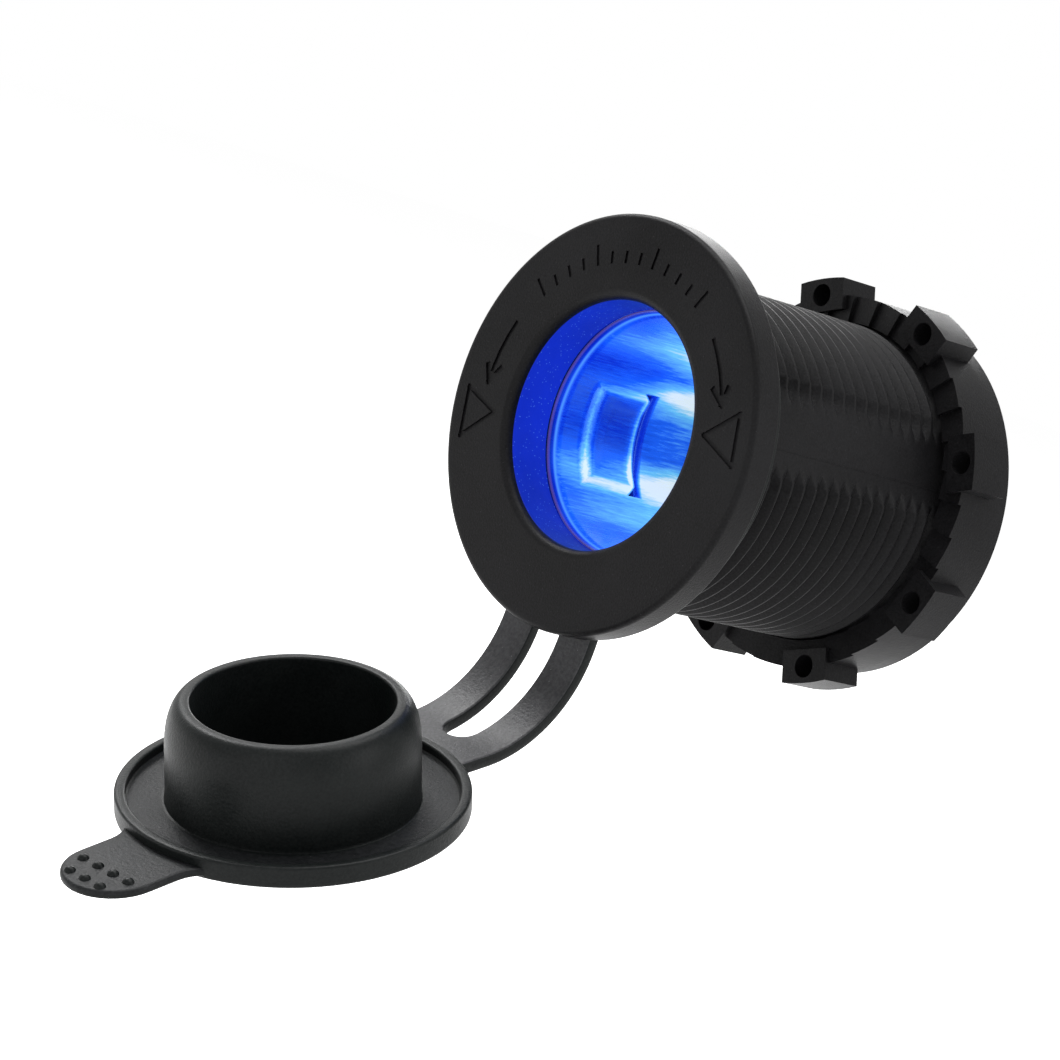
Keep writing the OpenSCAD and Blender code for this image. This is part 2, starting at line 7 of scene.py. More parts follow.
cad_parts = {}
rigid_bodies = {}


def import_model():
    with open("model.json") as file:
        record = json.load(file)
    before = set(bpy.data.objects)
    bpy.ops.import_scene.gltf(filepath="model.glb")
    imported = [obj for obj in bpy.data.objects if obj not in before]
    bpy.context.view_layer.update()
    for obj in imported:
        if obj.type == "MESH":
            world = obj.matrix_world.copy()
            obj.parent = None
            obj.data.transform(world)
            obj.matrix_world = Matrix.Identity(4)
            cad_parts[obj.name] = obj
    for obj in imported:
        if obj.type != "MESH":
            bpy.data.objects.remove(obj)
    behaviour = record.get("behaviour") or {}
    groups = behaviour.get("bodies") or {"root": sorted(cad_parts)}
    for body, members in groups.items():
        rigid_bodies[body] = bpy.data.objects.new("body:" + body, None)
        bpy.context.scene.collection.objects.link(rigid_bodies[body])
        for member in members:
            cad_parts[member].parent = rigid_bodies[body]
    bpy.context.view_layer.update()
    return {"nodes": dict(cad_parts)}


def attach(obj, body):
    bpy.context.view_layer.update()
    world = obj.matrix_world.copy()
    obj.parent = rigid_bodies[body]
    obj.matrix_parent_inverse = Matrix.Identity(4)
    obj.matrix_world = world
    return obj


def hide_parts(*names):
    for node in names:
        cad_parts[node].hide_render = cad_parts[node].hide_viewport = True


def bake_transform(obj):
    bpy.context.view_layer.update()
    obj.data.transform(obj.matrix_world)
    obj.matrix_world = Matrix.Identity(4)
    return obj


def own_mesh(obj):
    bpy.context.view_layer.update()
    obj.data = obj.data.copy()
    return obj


# 12 V power socket. The barrel runs along Y with its mouth towards -Y, and +Z is up.
# Lengths are typed in millimetres and multiplied by mm.
mm = 0.001
for leftOver in list(bpy.data.objects):  # the start-up cube, lamp and camera
    bpy.data.objects.remove(leftOver)
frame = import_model()
print("frame loaded:", len(frame["nodes"]), "nodes")


# camera, first of all
cameraSet = {"azimuth": 45.6, "elevation": 6.48, "roll": 19.2, "distance": 359.1, "lens": 140.87,
             "sensor": 36, "clip": (0.02, 10), "aim": (-2.36, -3.86, -10.73)}


def makeCamera():
    s = cameraSet
    az, el = math.radians(s["azimuth"]), math.radians(s["elevation"])
    back = Vector((math.sin(az) * math.cos(el), -math.cos(az) * math.cos(el), math.sin(el)))
    cam = bpy.data.objects.new("camera", bpy.data.cameras.new("camera"))
    cam.data.lens = s["lens"]
    cam.data.sensor_width = s["sensor"]
    cam.data.clip_start, cam.data.clip_end = s["clip"]
    facing = back.to_track_quat("Z", "Y").to_matrix().to_4x4()
    turn = facing @ Matrix.Rotation(math.radians(s["roll"]), 4, "Z")
    cam.matrix_world = Matrix.Translation((Vector(s["aim"]) + back * s["distance"]) * mm) @ turn
    bpy.context.scene.collection.objects.link(cam)
    bpy.context.scene.camera = cam


makeCamera()


# node helpers
def addNode(tree, kind, **values):
    made = tree.nodes.new(kind)
    for key, value in values.items():
        if hasattr(made, key):
            setattr(made, key, value)
        else:
            made.inputs[key.replace("_", " ")].default_value = value
    return made


def maths(tree, operation, a, b=0.0, c=0.0, clamp=False):
    made = tree.nodes.new("ShaderNodeMath")
    made.operation = operation
    made.use_clamp = clamp
    for socket, value in zip(made.inputs, (a, b, c)):
        if isinstance(value, (int, float)):
            socket.default_value = value
        else:
            tree.links.new(value, socket)
    return made.outputs[0]


def ramp(tree, factor, *stops):
    made = tree.nodes.new("ShaderNodeValToRGB")
    while len(made.color_ramp.elements) < len(stops):
        made.color_ramp.elements.new(0.5)
    for element, (place, colour) in zip(made.color_ramp.elements, stops):
        element.position = place
        element.color = (*colour, 1) if isinstance(colour, tuple) else (colour, colour, colour, 1)
    tree.links.new(factor, made.inputs["Fac"])
    return made.outputs["Color"]


def paint(tree, shader, socket, factor, low, high):
    # noise lies mostly between 0.3 and 0.7
    tree.links.new(ramp(tree, factor, (0.3, low), (0.7, high)), shader.inputs[socket])


def mixed(tree, factor, first, second):
    # first where the factor is 0, second where it is 1
    made = addNode(tree, "ShaderNodeMix", data_type="RGBA")
    tree.links.new(factor, made.inputs[0])
    for socket, value in zip((made.inputs[6], made.inputs[7]), (first, second)):
        if isinstance(value, tuple):
            socket.default_value = (*value, 1)
        else:
            tree.links.new(value, socket)
    return made.outputs[2]


def newGroup(name, inputs, outputs):
    group = bpy.data.node_groups.new(name, "ShaderNodeTree")
    for label, kind, value in inputs:
        socket = group.interface.new_socket(name=label, in_out="INPUT", socket_type=kind)
        if value is not None:
            socket.default_value = value
    for label, kind in outputs:
        group.interface.new_socket(name=label, in_out="OUTPUT", socket_type=kind)
    return group, group.nodes.new("NodeGroupInput"), group.nodes.new("NodeGroupOutput")


def makeMouldGrain():
    # spark-eroded mould texture with slow patches of wear
    group, entry, leave = newGroup(
        "mouldGrain",
        [("Vector", "NodeSocketVector", None), ("Grain", "NodeSocketFloat", 3500.0),
         ("Patch", "NodeSocketFloat", 90.0), ("Fleck", "NodeSocketFloat", 0.07),
         ("Spread", "NodeSocketFloat", 1400.0)],
        [("Height", "NodeSocketFloat"), ("Patch", "NodeSocketFloat"), ("Speck", "NodeSocketFloat")],
    )
    links = group.links
    grain = addNode(group, "ShaderNodeTexNoise", Detail=3.0, Roughness=0.6)
    patch = addNode(group, "ShaderNodeTexNoise", Detail=4.0, Roughness=0.55)
    speck = addNode(group, "ShaderNodeTexVoronoi")
    for node, scale in ((grain, "Grain"), (patch, "Patch")):
        links.new(entry.outputs["Vector"], node.inputs["Vector"])
        links.new(entry.outputs[scale], node.inputs["Scale"])
    links.new(entry.outputs["Vector"], speck.inputs["Vector"])
    links.new(entry.outputs["Spread"], speck.inputs["Scale"])
    links.new(grain.outputs["Fac"], leave.inputs["Height"])
    links.new(patch.outputs["Fac"], leave.inputs["Patch"])
    inSpeck = maths(group, "LESS_THAN", speck.outputs["Distance"], entry.outputs["Fleck"])
    links.new(inSpeck, leave.inputs["Speck"])
    return group


def makeBrushLines():
    # fine lines left by spinning or drawing, round the barrel's axis
    group, entry, leave = newGroup(
        "brushLines",
        [("Vector", "NodeSocketVector", None), ("Along", "NodeSocketFloat", 9000.0),
         ("Round", "NodeSocketFloat", 60.0)],
        [("Height", "NodeSocketFloat"), ("Cloud", "NodeSocketFloat")],
    )
    links = group.links
    parts = addNode(group, "ShaderNodeSeparateXYZ")
    joined = addNode(group, "ShaderNodeCombineXYZ")
    links.new(entry.outputs["Vector"], parts.inputs[0])
    for axis, scale in (("X", "Round"), ("Y", "Along"), ("Z", "Round")):
        links.new(maths(group, "MULTIPLY", parts.outputs[axis], entry.outputs[scale]), joined.inputs[axis])
    lines = addNode(group, "ShaderNodeTexNoise", Scale=1.0, Detail=4.0, Roughness=0.65)
    cloud = addNode(group, "ShaderNodeTexNoise", Scale=160.0, Detail=3.0, Roughness=0.5)
    links.new(joined.outputs[0], lines.inputs["Vector"])
    links.new(entry.outputs["Vector"], cloud.inputs["Vector"])
    links.new(lines.outputs["Fac"], leave.inputs["Height"])
    links.new(cloud.outputs["Fac"], leave.inputs["Cloud"])
    return group


mouldGrain = makeMouldGrain()
brushLines = makeBrushLines()


def startMaterial(name, **sockets):
    mat = bpy.data.materials.new(name)
    mat.use_nodes = True
    tree = mat.node_tree
    shader = tree.nodes["Principled BSDF"]
    for key, value in sockets.items():
        shader.inputs[key.replace("_", " ")].default_value = value
    place = tree.nodes.new("ShaderNodeTexCoord").outputs["Object"]
    return mat, tree, shader, place


def placeGroup(tree, group, place, **values):
    made = tree.nodes.new("ShaderNodeGroup")
    made.node_tree = group
    tree.links.new(place, made.inputs["Vector"])
    for key, value in values.items():
        made.inputs[key].default_value = value
    return made


def addBump(tree, shader, height, strength, depth):
    bump = addNode(tree, "ShaderNodeBump", Strength=strength, Distance=depth * mm)
    tree.links.new(height, bump.inputs["Height"])
    tree.links.new(bump.outputs["Normal"], shader.inputs["Normal"])


def splitPlace(tree, place):
    parts = addNode(tree, "ShaderNodeSeparateXYZ")
    tree.links.new(place, parts.inputs[0])
    return parts.outputs


# depth of each kind of bump
bumpDepth = {"moulded": 0.06, "brushed": 0.03, "litRing": 0.05, "linerPaintedLight": 0.04}


def mouldedPlastic(name, dark, light, rough, specular, grain=3500.0, bump=0.35, speckColour=None):
    mat, tree, shader, place = startMaterial(name, Specular_IOR_Level=specular)
    skin = placeGroup(tree, mouldGrain, place, Grain=grain)
    pits = maths(tree, "SUBTRACT", skin.outputs["Height"], 0.5)
    shade = maths(tree, "MULTIPLY_ADD", pits, 1.1, skin.outputs["Patch"])
    colour = ramp(tree, shade, (0.25, dark), (0.75, light))
    if speckColour:
        colour = mixed(tree, skin.outputs["Speck"], colour, speckColour)
    tree.links.new(colour, shader.inputs["Base Color"])
    paint(tree, shader, "Roughness", skin.outputs["Patch"], *rough)
    addBump(tree, shader, skin.outputs["Height"], bump, bumpDepth["moulded"])
    return mat


def brushedMetal(name, dark, light, rough, along=9000.0, bump=0.25):
    mat, tree, shader, place = startMaterial(name, Metallic=1.0)
    skin = placeGroup(tree, brushLines, place, Along=along)
    paint(tree, shader, "Base Color", skin.outputs["Cloud"], dark, light)
    paint(tree, shader, "Roughness", skin.outputs["Height"], *rough)
    addBump(tree, shader, skin.outputs["Height"], bump, bumpDepth["brushed"])
    return mat


# the ring's glow and the liner's painted light (painted reflections, highlights and shadows): colours,
# strengths, and where the lock tabs and the slits behind them lie
glowAndPaintedLight = {"deep": (0.002, 0.012, 0.34), "azure": (0.008, 0.12, 0.95), "pale": (0.16, 0.62, 1.0),
        "white": (0.85, 1.0, 1.0), "spark": (0.07, 0.20, 1.0), "ringStrength": 0.62, "linerPaintedLightStrength": 0.8,
        "ledReach": 11.5, "bore": 10.5, "rimDepth": 2.3, "tabTurn": 12.5, "tabMiddle": 9.0,
        "tabHalf": (4.85, 3.1), "slitMiddle": 12.9, "paintedHighlightShare": 0.42, "paintedShadeShare": -0.16, "paintedShadowShare": -0.9}
# painted reflections of the ring's light down the bore, in bands by degrees past the nearer tab's middle
paintedReflectionBands = [(-90, 0.4), (-54, 1.15), (-38, 0.45), (-28, 1.1), (-14, 0.4), (4, 0.3), (19, 1.1), (31, 0.8),
              (43, 1.1), (66, 0.5), (90, 0.4)]


def ringPlastic():
    # blue translucent moulding, lit from behind, with sparkling specks
    mat, tree, shader, place = startMaterial("litBluePlastic", Roughness=0.42, Specular_IOR_Level=0.1)
    skin = placeGroup(tree, mouldGrain, place, Patch=140.0, Fleck=0.15, Spread=2800.0)
    paint(tree, shader, "Base Color", skin.outputs["Patch"], (0.001, 0.005, 0.07), (0.002, 0.010, 0.12))
    sideways = maths(tree, "ABSOLUTE", splitPlace(tree, place)["X"])
    nearLamp = maths(tree, "MULTIPLY", sideways, 1 / (glowAndPaintedLight["ledReach"] * mm), clamp=True)
    cloudy = maths(tree, "MULTIPLY", skin.outputs["Patch"], 0.5)
    base = ramp(tree, maths(tree, "MULTIPLY_ADD", nearLamp, 0.6, cloudy),
                (0.25, (0.002, 0.008, 0.22)), (0.9, (0.008, 0.040, 0.90)))
    tree.links.new(mixed(tree, skin.outputs["Speck"], base, glowAndPaintedLight["spark"]), shader.inputs["Emission Color"])
    shader.inputs["Emission Strength"].default_value = glowAndPaintedLight["ringStrength"]
    addBump(tree, shader, skin.outputs["Height"], 0.3, bumpDepth["litRing"])
    return mat


def tabPaintedLightMasks(tree, parts):
    # the turn round the bore, folded on the nearer lock tab, then masks for painted light: a painted
    # highlight along its edge, painted shade on its face and a painted shadow in its slit
    angle = maths(tree, "MULTIPLY", maths(tree, "ARCTAN2", parts["Z"], parts["X"]), 180 / math.pi)
    folded = maths(tree, "FLOORED_MODULO", maths(tree, "ADD", angle, 90 - glowAndPaintedLight["tabTurn"]), 180.0)
    offMiddle = maths(tree, "ABSOLUTE", maths(tree, "SUBTRACT", folded, 90.0))
    sideways = maths(tree, "MULTIPLY", offMiddle, glowAndPaintedLight["bore"] * math.pi / 180)
    along = maths(tree, "ABSOLUTE", maths(tree, "MULTIPLY_ADD", parts["Y"], 1 / mm, -glowAndPaintedLight["tabMiddle"]))
    outside = maths(tree, "MAXIMUM", maths(tree, "SUBTRACT", sideways, glowAndPaintedLight["tabHalf"][0]),
                    maths(tree, "SUBTRACT", along, glowAndPaintedLight["tabHalf"][1]))  # mm past the tab's outline
    # mask of the painted highlight along the tab's edge
    offEdge = maths(tree, "ABSOLUTE", maths(tree, "ADD", outside, 0.35))
    edge = maths(tree, "MULTIPLY_ADD", offEdge, -2.0, 1.0, clamp=True)
    # mask of the painted shade on the tab's face
    face = maths(tree, "MULTIPLY_ADD", outside, -1.6, -1.1, clamp=True)
    # mask of the painted shadow in the slit behind the tab
    offSlit = maths(tree, "ABSOLUTE", maths(tree, "MULTIPLY_ADD", parts["Y"], 1 / mm, -glowAndPaintedLight["slitMiddle"]))
    slitShadow = maths(tree, "MULTIPLY_ADD", offSlit, -1.5, 1.6, clamp=True)
    slitShadow = maths(tree, "MULTIPLY", slitShadow, maths(tree, "LESS_THAN", sideways, glowAndPaintedLight["tabHalf"][0]))
    return folded, edge, face, slitShadow


def linerPaintedLightMaterial():
    # bright drawn sheet; the ring's blue light down the bore is painted into its emission as painted
    # reflections, highlights and shadows
    mat, tree, shader, place = startMaterial("linerMetalPaintedLight", Metallic=1.0)
    skin = placeGroup(tree, brushLines, place, Along=420.0, Round=5200.0)
    parts = splitPlace(tree, place)
    folded, edge, face, slitShadow = tabPaintedLightMasks(tree, parts)
    # painted reflections: bands of light round the bore
    paintedBandStops = [((turn + 90) / 180, value) for turn, value in paintedReflectionBands]
    paintedBand = ramp(tree, maths(tree, "DIVIDE", folded, 180.0), *paintedBandStops)
    depth = maths(tree, "MULTIPLY_ADD", parts["Y"], 1 / mm, -glowAndPaintedLight["rimDepth"])
    # a stretched cloud of painted reflections
    stretched = addNode(tree, "ShaderNodeMapping")
    stretched.inputs["Scale"].default_value = (120, 45, 120)
    stretched.inputs["Location"].default_value = (0.4, 0.2, 0.7)
    tree.links.new(place, stretched.inputs["Vector"])
    cloud = addNode(tree, "ShaderNodeTexNoise", Scale=1.0, Detail=2.5, Roughness=0.5)
    tree.links.new(stretched.outputs[0], cloud.inputs["Vector"])
    # painted light rising with depth into the bands
    rise = maths(tree, "MULTIPLY_ADD", depth, 0.05, 0.2, clamp=True)
    light = maths(tree, "MULTIPLY_ADD", cloud.outputs["Fac"], 1.3, -0.55)
    light = maths(tree, "ADD", light, maths(tree, "MULTIPLY", rise, paintedBand))
    light = maths(tree, "ADD", light, maths(tree, "MULTIPLY_ADD", skin.outputs["Height"], 0.5, -0.25))
    # painted highlight on the tab's edge, painted shade on its face, painted shadow in its slit
    for mask, share in ((edge, "paintedHighlightShare"), (face, "paintedShadeShare"), (slitShadow, "paintedShadowShare")):
        light = maths(tree, "MULTIPLY_ADD", mask, glowAndPaintedLight[share], light)
    tone = ramp(tree, light, (0.02, glowAndPaintedLight["deep"]), (0.42, glowAndPaintedLight["azure"]), (0.76, glowAndPaintedLight["pale"]),
                (0.98, glowAndPaintedLight["white"]))
    # near the mouth: a painted reflection on the flare's cut edge, the ring's painted shadow, then a painted
    # bright rim
    rim = ramp(tree, maths(tree, "MULTIPLY", depth, 0.5, clamp=True), (0.0, (0.09, 0.06, 0.14)),
               (0.07, (0.06, 0.04, 0.10)), (0.11, (0.001, 0.004, 0.10)), (0.26, (0.003, 0.02, 0.40)),
               (0.36, (0.12, 0.45, 1.0)), (0.5, (0.01, 0.12, 0.9)))
    nearRim = maths(tree, "MULTIPLY_ADD", depth, -2.5, 2.6, clamp=True)
    tree.links.new(mixed(tree, nearRim, tone, rim), shader.inputs["Emission Color"])
    shader.inputs["Emission Strength"].default_value = glowAndPaintedLight["linerPaintedLightStrength"]
    # the metal's base is tinted blue, a painted reflection of the ring's light
    paint(tree, shader, "Base Color", skin.outputs["Cloud"], (0.02, 0.07, 0.32), (0.05, 0.14, 0.5))
    paint(tree, shader, "Roughness", skin.outputs["Height"], 0.16, 0.32)
    addBump(tree, shader, skin.outputs["Height"], 0.4, bumpDepth["linerPaintedLight"])
    return mat


plasticFinishes = {
    "nylon": {"dark": (0.0026, 0.0025, 0.0028), "light": (0.0092, 0.0090, 0.0098), "rough": (0.38, 0.52),
              "specular": 0.09, "grain": 5200.0, "bump": 0.55, "speckColour": (0.02, 0.02, 0.022)},
    "capRubber": {"dark": (0.0030, 0.0040, 0.0040), "light": (0.0092, 0.0106, 0.0104), "rough": (0.34, 0.46),
                  "specular": 0.11, "grain": 4200.0, "bump": 0.6},
    # the strap's front faces, the pull's upper faces and the recess floor keep the mould's coarser spark
    # texture, and their lighter base is painted light on faces turned to the lamps
    "pullAndRecessPaintedLight": {"dark": (0.004, 0.0045, 0.005), "light": (0.016, 0.017, 0.018), "rough": (0.42, 0.54),
                   "specular": 0.12, "grain": 3000.0, "bump": 0.7, "speckColour": (0.06, 0.06, 0.065)},
    "strapFrontPaintedLight": {"dark": (0.026, 0.026, 0.028), "light": (0.060, 0.060, 0.064), "rough": (0.42, 0.54),
                    "specular": 0.2, "grain": 3000.0, "bump": 0.7, "speckColour": (0.14, 0.14, 0.15)},
    "sealRubber": {"dark": (0.008, 0.008, 0.008), "light": (0.012, 0.012, 0.012), "rough": (0.7, 0.8),
                   "specular": 0.2},
    "fibre": {"dark": (0.16, 0.07, 0.03), "light": (0.24, 0.11, 0.05), "rough": (0.45, 0.6), "specular": 0.5,
              "bump": 0.2},
    "boardMask": {"dark": (0.008, 0.09, 0.03), "light": (0.015, 0.13, 0.05), "rough": (0.28, 0.36),
                  "specular": 0.5, "bump": 0.15},
    "resistorBody": {"dark": (0.02, 0.02, 0.02), "light": (0.035, 0.035, 0.035), "rough": (0.35, 0.45),
                     "specular": 0.5, "bump": 0.1},
    "redSleeve": {"dark": (0.30, 0.01, 0.01), "light": (0.42, 0.02, 0.02), "rough": (0.35, 0.45),
                  "specular": 0.5, "bump": 0.1},
    "blackSleeve": {"dark": (0.012, 0.012, 0.012), "light": (0.02, 0.02, 0.02), "rough": (0.35, 0.45),
                    "specular": 0.5, "bump": 0.1}}
metalFinishes = {
    "turnedBrass": {"dark": (0.46, 0.30, 0.11), "light": (0.60, 0.42, 0.18), "rough": (0.24, 0.38)},
    "tinnedBrass": {"dark": (0.27, 0.265, 0.25), "light": (0.40, 0.39, 0.37), "rough": (0.3, 0.44),
                    "along": 2500.0},
    "springSteel": {"dark": (0.26, 0.26, 0.27), "light": (0.38, 0.38, 0.39), "rough": (0.28, 0.42),
                    "along": 4000.0}}
coats = {name: mouldedPlastic(name, **finish) for name, finish in plasticFinishes.items()}
coats.update({name: brushedMetal(name, **finish) for name, finish in metalFinishes.items()})
coats["litPlastic"] = ringPlastic()
coats["linerPaintedLight"] = linerPaintedLightMaterial()
print("materials made:", len(bpy.data.materials))


# mesh helpers
def finishPiece(name, bm, mats, body=None, sharp=38, nodes=(), weighted=True):
    for face in bm.faces:
        face.smooth = True
    for edge in bm.edges:
        edge.smooth = len(edge.link_faces) != 2 or edge.calc_face_angle(0) < math.radians(sharp)
    data = bpy.data.meshes.new(name)
    bm.to_mesh(data)
    bm.free()
    obj = bpy.data.objects.new(name, data)
    bpy.context.scene.collection.objects.link(obj)
    for mat in mats:
        data.materials.append(mat)
    if weighted:
        wn = obj.modifiers.new("evenNormals", "WEIGHTED_NORMAL")
        wn.keep_sharp = True
    if nodes:
        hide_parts(*nodes)
    if body:
        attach(obj, body)
    return obj


def tidy(bm, gap=0.002):
    bmesh.ops.remove_doubles(bm, verts=bm.verts[:], dist=gap * mm)
    bmesh.ops.recalc_face_normals(bm, faces=bm.faces[:])


def addProfile(bm, points, closed=True):
    # (radius, depth) points, in the XY plane
    verts = [bm.verts.new((r * mm, y * mm, 0)) for r, y in points]
    ends = zip(verts, verts[1:] + verts[:1]) if closed else zip(verts, verts[1:])
    edges = [bm.edges.new(pair) for pair in ends]
    return verts + edges


def turned(bm, points, steps=144, closed=True):
    # a profile turned once round the barrel's axis
    before = set(bm.verts)
    bmesh.ops.spin(bm, geom=addProfile(bm, points, closed), cent=(0, 0, 0), axis=(0, 1, 0),
                   angle=2 * math.pi, steps=steps, use_merge=True)
    return [v for v in bm.verts if v not in before]


def arc(centre, radius, start, end, steps):
    # points on an arc in (radius, depth), degrees from +radius towards +depth
    return [(centre[0] + radius * math.cos(math.radians(start + (end - start) * i / steps)),
             centre[1] + radius * math.sin(math.radians(start + (end - start) * i / steps)))
            for i in range(steps + 1)]


def smoothStep(low, high, value):
    t = min(1.0, max(0.0, (value - low) / (high - low)))
    return t * t * (3 - 2 * t)


def polar(radius, degrees):
    return radius * math.cos(math.radians(degrees)), radius * math.sin(math.radians(degrees))


def offAngle(co, centre):
    # degrees from a direction in the XZ plane, -180 to 180
    return (math.degrees(math.atan2(co.z, co.x)) - centre + 180) % 360 - 180


def joinInto(bm, piece, place=Matrix.Identity(4)):
    data = bpy.data.meshes.new("part")
    piece.to_mesh(data)
    piece.free()
    data.transform(place)
    bm.from_mesh(data)
    bpy.data.meshes.remove(data)


def softCopy(node, mats, body, width=0.12, name=None):
    # a merged copy of a CAD node with its sharp edges eased
    bm = bmesh.new()
    bm.from_mesh(frame["nodes"][node].data)
    tidy(bm, 0.001)
    bmesh.ops.dissolve_limit(bm, angle_limit=math.radians(0.5), verts=bm.verts[:], edges=bm.edges[:])
    sharp = [e for e in bm.edges if len(e.link_faces) == 2 and e.calc_face_angle(0) > math.radians(35)]
    bmesh.ops.bevel(bm, geom=sharp, offset=width * mm, offset_type="OFFSET", segments=2, profile=0.5,
                    affect="EDGES", clamp_overlap=True, material=-1)
    return finishPiece(name or node + "_finish", bm, mats, body, nodes=(node,))


# socket body: flange, marks, bore and threaded barrel
flangeSet = {"radius": 18.5, "thick": 2.9, "edge": 0.5, "mouth": 11.0, "mouthEdge": 0.8, "lip": 0.9,
             "faceFrom": 13.2, "faceTo": 17.2, "backEdge": 0.2, "ringSeat": 12.45, "ringEnd": 2.35,
             "boardSeat": 12.95, "boardEnd": 3.7, "bore": 11.05, "boreEase": 0.3, "length": 35.1,
             "wall": 13.4, "steps": 180}
# the flank's points are (radius, run along the barrel), from a groove's floor to the next crest
threadSet = {"crest": 14.6, "root": 13.72, "pitch": 1.5,
             "flank": [(13.72, 0), (13.78, 0.06), (14.56, 0.63), (14.6, 0.7)], "steps": 240,
             "flatDepth": 13.85, "flatTurn": 21, "flatReach": 60, "fadeTurn": -3, "shallowFrom": 19,
             "fullFrom": 2, "partingLine": -1.7, "partingSize": (0.06, 0.4, 0.1)}
markSet = {"lineTurn": 12.5, "strokeWidth": 0.42, "barbWidth": 1.3, "sink": 0.17, "clear": 0.5,
           "triangle": [(16.7, -7.1), (16.8, 8.1), (12.86, 0)], "arrow": [(14.5, -33.7), (14.5, -10.7)],
           "arrowParts": 4, "barbs": [(15.25, -15.6), (13.6, -16.6)], "tickFrom": 62, "tickTo": 143,
           "ticks": 13, "longTick": 4, "tickLow": 14.2, "tickHigh": (15.0, 15.8), "tickWidth": 0.3}


def strokePrism(bm, start, end, width):
    # square-ended groove cutter between two (x, z) points on the flange's face
    a, b = Vector((start[0], 0, start[1])), Vector((end[0], 0, end[1]))
    along = (b - a).normalized()
    a, b = a - along * width / 2, b + along * width / 2
    across = Vector((0, 1, 0)).cross(along)
    front, deep = -flangeSet["thick"] - markSet["clear"], -flangeSet["thick"] + markSet["sink"]
    middle = (a + b) / 2 + Vector((0, (front + deep) / 2, 0))
    turn = Matrix((along, Vector((0, 1, 0)), across)).transposed().to_4x4()
    size = Matrix.Diagonal(((b - a).length, deep - front, width, 1))
    bmesh.ops.create_cube(bm, size=1, matrix=Matrix.Scale(mm, 4) @ Matrix.Translation(middle) @ turn @ size)


def makeMarkCutter():
    s = markSet
    bm = bmesh.new()
    for side in (1, -1):  # the right-hand marks, mirrored for the left

        def at(point):
            radius, off = point
            return polar(radius, s["lineTurn"] - off if side > 0 else 180 + s["lineTurn"] + off)

        corners = [at(p) for p in s["triangle"]]
        for i in range(3):
            strokePrism(bm, corners[i], corners[(i + 1) % 3], s["strokeWidth"])
        tail, head = s["arrow"]
        count = s["arrowParts"]
        shaft = [(tail[0], tail[1] + (head[1] - tail[1]) * i / count) for i in range(count + 1)]
        for p, q in zip(shaft, shaft[1:]):
            strokePrism(bm, at(p), at(q), s["strokeWidth"])
        for barb in s["barbs"]:
            strokePrism(bm, at(head), at(barb), s["strokeWidth"] * s["barbWidth"])
    step = (s["tickTo"] - s["tickFrom"]) / (s["ticks"] - 1)
    for i in range(s["ticks"]):
        angle = s["tickFrom"] + step * i
        high = s["tickHigh"][i % s["longTick"] == 0]
        strokePrism(bm, polar(s["tickLow"], angle), polar(high, angle), s["tickWidth"])
    bmesh.ops.recalc_face_normals(bm, faces=bm.faces[:])
    data = bpy.data.meshes.new("markCutter")
    bm.to_mesh(data)
    bm.free()
    cutter = bpy.data.objects.new("markCutter", data)
    bpy.context.scene.collection.objects.link(cutter)
    return cutter


def cutMarks(bm):
    # grooves are cut in the flange before it joins the barrel
    data = bpy.data.meshes.new("flangeBlank")
    bm.to_mesh(data)
    bm.free()
    blank = bpy.data.objects.new("flangeBlank", data)
    bpy.context.scene.collection.objects.link(blank)
    cutter = makeMarkCutter()
    cut = blank.modifiers.new("marks", "BOOLEAN")
    cut.object, cut.operation, cut.solver, cut.use_self = cutter, "DIFFERENCE", "EXACT", True
    result = bmesh.new()
    result.from_object(blank, bpy.context.evaluated_depsgraph_get())
    for obj in (blank, cutter):
        bpy.data.objects.remove(obj)
    return result


def makeFlange():
    s = flangeSet
    front = -s["thick"]
    bm = bmesh.new()
    points = arc((s["mouth"] + s["mouthEdge"], front + s["mouthEdge"]), s["mouthEdge"], 180, 270, 8)
    points += [(s["faceFrom"], front), (s["faceTo"], front)]
    points += arc((s["radius"] - s["edge"], front + s["edge"]), s["edge"], -90, 0, 6)
    points += arc((s["radius"] - s["backEdge"], -s["backEdge"]), s["backEdge"], 0, 90, 3)
    points += [(s["wall"], 0), (s["wall"], s["length"]), (s["bore"] + s["boreEase"], s["length"]),
               (s["bore"], s["length"] - s["boreEase"]), (s["bore"], s["boardEnd"]),
               (s["boardSeat"], s["boardEnd"]), (s["boardSeat"], s["ringEnd"]), (s["ringSeat"], s["ringEnd"]),
               (s["ringSeat"], front + s["lip"]), (s["mouth"], front + s["lip"])]
    turned(bm, points, s["steps"])
    tidy(bm)
    return cutMarks(bm)


def coilThread(piece):
    s = threadSet
    turns = math.ceil(flangeSet["length"] / s["pitch"]) + 3
    tooth = s["flank"] + [(radius, s["pitch"] - run) for radius, run in reversed(s["flank"])]
    start = -1.5 * s["pitch"]
    profile = addProfile(piece, [(radius, run + start) for radius, run in tooth], closed=False)
    bmesh.ops.spin(piece, geom=profile, cent=(0, 0, 0), axis=(0, 1, 0), angle=2 * math.pi, steps=s["steps"],
                   dvec=(0, s["pitch"] * mm / s["steps"], 0))
    oneTurn = piece.verts[:] + piece.edges[:] + piece.faces[:]
    for turn in range(1, turns):
        made = bmesh.ops.duplicate(piece, geom=oneTurn)["geom"]
        bmesh.ops.translate(piece, verts=[g for g in made if isinstance(g, bmesh.types.BMVert)],
                            vec=(0, s["pitch"] * turn * mm, 0))
    bmesh.ops.remove_doubles(piece, verts=piece.verts[:], dist=0.004 * mm)


def scaleRadius(vert, scale):
    vert.co.x *= scale
    vert.co.z *= scale


